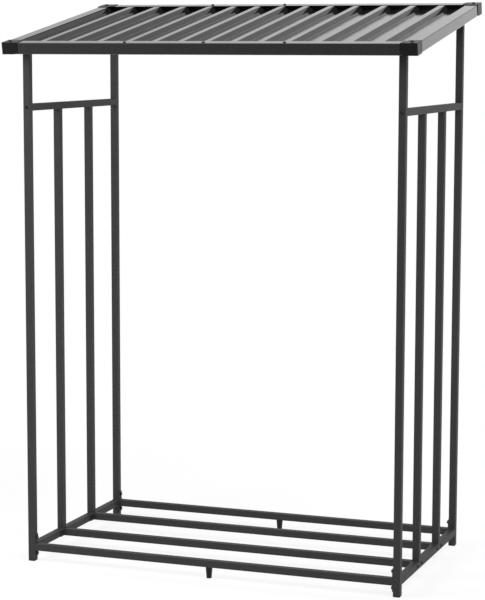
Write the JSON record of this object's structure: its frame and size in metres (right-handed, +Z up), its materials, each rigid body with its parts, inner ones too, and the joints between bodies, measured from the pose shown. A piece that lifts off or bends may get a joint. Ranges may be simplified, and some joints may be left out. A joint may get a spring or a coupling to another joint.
{
  "type": "log store",
  "caption": "Open-fronted steel log store: a square-tube frame with barred sides and floor rails under a sloping ribbed sheet roof with folded edge trims.",
  "frame": {"origin": "on the ground, under the middle of the roof seen from above", "axes": "+X to the right seen from the open front, +Y from the front to the back, +Z up; the roof falls towards the front"},
  "size_m": [1.506, 0.8863, 2.0198],
  "materials": {
    "frame_coat": "satin anthracite powder coat",
    "roof_coat": "semi-gloss anthracite coil coat",
    "black_plastic": "fine-grained moulded black",
    "black_screws": "blackened steel"
  },
  "bodies": {
    "root": {"back_centre_foot": "black_plastic", "back_floor_bar": "frame_coat", "back_floor_rail": "frame_coat", "back_left_corner_cap": "black_plastic", "back_left_foot_cap": "black_plastic", "back_left_post": "frame_coat", "back_right_corner_cap": "black_plastic", "back_right_foot_cap": "black_plastic", "back_right_post": "frame_coat", "back_roof_bearer": "frame_coat", "back_roof_trim": "roof_coat", "front_centre_foot": "black_plastic", "front_floor_bar": "frame_coat", "front_floor_rail": "frame_coat", "front_left_corner_cap": "black_plastic", "front_left_foot_cap": "black_plastic", "front_left_post": "frame_coat", "front_right_corner_cap": "black_plastic", "front_right_foot_cap": "black_plastic", "front_right_post": "frame_coat", "front_roof_bearer": "frame_coat", "front_roof_trim": "roof_coat", "left_back_bar": "frame_coat", "left_front_bar": "frame_coat", "left_inner_roof_panel": "roof_coat", "left_lower_rail": "frame_coat", "left_outer_roof_panel": "roof_coat", "left_roof_trim": "roof_coat", "left_upper_rail": "frame_coat", "right_back_bar": "frame_coat", "right_front_bar": "frame_coat", "right_inner_roof_panel": "roof_coat", "right_lower_rail": "frame_coat", "right_outer_roof_panel": "roof_coat", "right_roof_trim": "roof_coat", "right_upper_rail": "frame_coat"}
  },
  "joints": []
}
